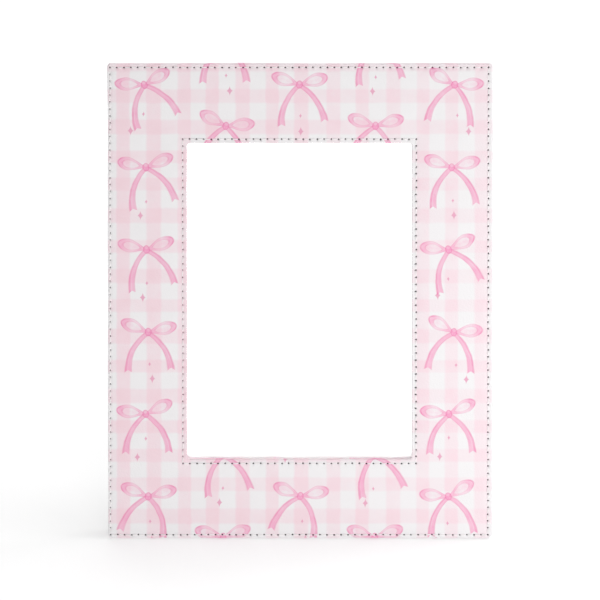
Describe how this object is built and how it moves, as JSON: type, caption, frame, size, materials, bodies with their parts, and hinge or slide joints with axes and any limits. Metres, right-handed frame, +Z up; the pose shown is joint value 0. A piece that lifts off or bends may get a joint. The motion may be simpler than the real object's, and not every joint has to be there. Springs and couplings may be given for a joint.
{
  "type": "picture frame",
  "caption": "Standing picture frame for a photo print: a flat stitched leatherette border round a glazed window, with a folding easel leg behind.",
  "frame": {"origin": "on the table, under the middle of the standing frame's overall box", "axes": "+X to the viewer's right, +Y from the front to the back, +Z up; the front faces -Y and leans back 12 degrees"},
  "size_m": [0.1968, 0.0832, 0.2427],
  "materials": {
    "leatherette": "printed PU leatherette, fine grain, semi-matt",
    "thread": "twisted polyester sewing thread",
    "chipboard": "grey-brown chipboard",
    "papered_mdf": "MDF covered with matt black paper",
    "velour": "short black velour on board",
    "glass": "clear 2 mm float glass",
    "paper": "plain white card",
    "nickelled_steel": "nickel-plated pressed steel",
    "ribbon": "black satin ribbon"
  },
  "bodies": {
    "frame": {"front_cover": "leatherette", "stiffener_board": "chipboard", "outer_stitching": "thread", "inner_stitching": "thread", "rail_left": "papered_mdf", "rail_right": "papered_mdf", "rail_top": "papered_mdf", "rail_bottom": "papered_mdf", "frame_lining": "velour", "glass_pane": "glass", "photo_insert": "paper", "filler_card": "chipboard", "back_board": "papered_mdf", "board_lining": "velour", "button_screw_upper_left": "nickelled_steel", "button_screw_upper_right": "nickelled_steel", "button_screw_lower_left": "nickelled_steel", "button_screw_lower_right": "nickelled_steel", "hinge_leaf_board": "nickelled_steel", "hinge_pin": "nickelled_steel", "hinge_rivet_board_left": "nickelled_steel", "hinge_rivet_board_right": "nickelled_steel", "stay_ribbon": "ribbon"},
    "easel_leg": {"easel_leg": "velour", "hinge_leaf_leg": "nickelled_steel", "hinge_rivet_leg_left": "nickelled_steel", "hinge_rivet_leg_right": "nickelled_steel"},
    "turn_button_upper_left": {"turn_button_upper_left": "nickelled_steel"},
    "turn_button_upper_right": {"turn_button_upper_right": "nickelled_steel"},
    "turn_button_lower_left": {"turn_button_lower_left": "nickelled_steel"},
    "turn_button_lower_right": {"turn_button_lower_right": "nickelled_steel"}
  },
  "joints": [
    {"name": "easel_hinge", "type": "hinge", "parent": "frame", "child": "easel_leg", "pos_m": [0, 0.0087, 0.1617], "axis": [1, 0, 0], "range_deg": [-23, 0], "deforming": ["stay_ribbon"]},
    {"name": "turn_button_upper_left_pivot", "type": "hinge", "parent": "frame", "child": "turn_button_upper_left", "pos_m": [-0.0699, 0.00749, 0.16799], "axis": [0, 0.9781, -0.2079], "continuous": true},
    {"name": "turn_button_upper_right_pivot", "type": "hinge", "parent": "frame", "child": "turn_button_upper_right", "pos_m": [0.0699, 0.00749, 0.16799], "axis": [0, 0.9781, -0.2079], "continuous": true},
    {"name": "turn_button_lower_left_pivot", "type": "hinge", "parent": "frame", "child": "turn_button_lower_left", "pos_m": [-0.0699, -0.01331, 0.07017], "axis": [0, 0.9781, -0.2079], "continuous": true},
    {"name": "turn_button_lower_right_pivot", "type": "hinge", "parent": "frame", "child": "turn_button_lower_right", "pos_m": [0.0699, -0.01331, 0.07017], "axis": [0, 0.9781, -0.2079], "continuous": true}
  ]
}
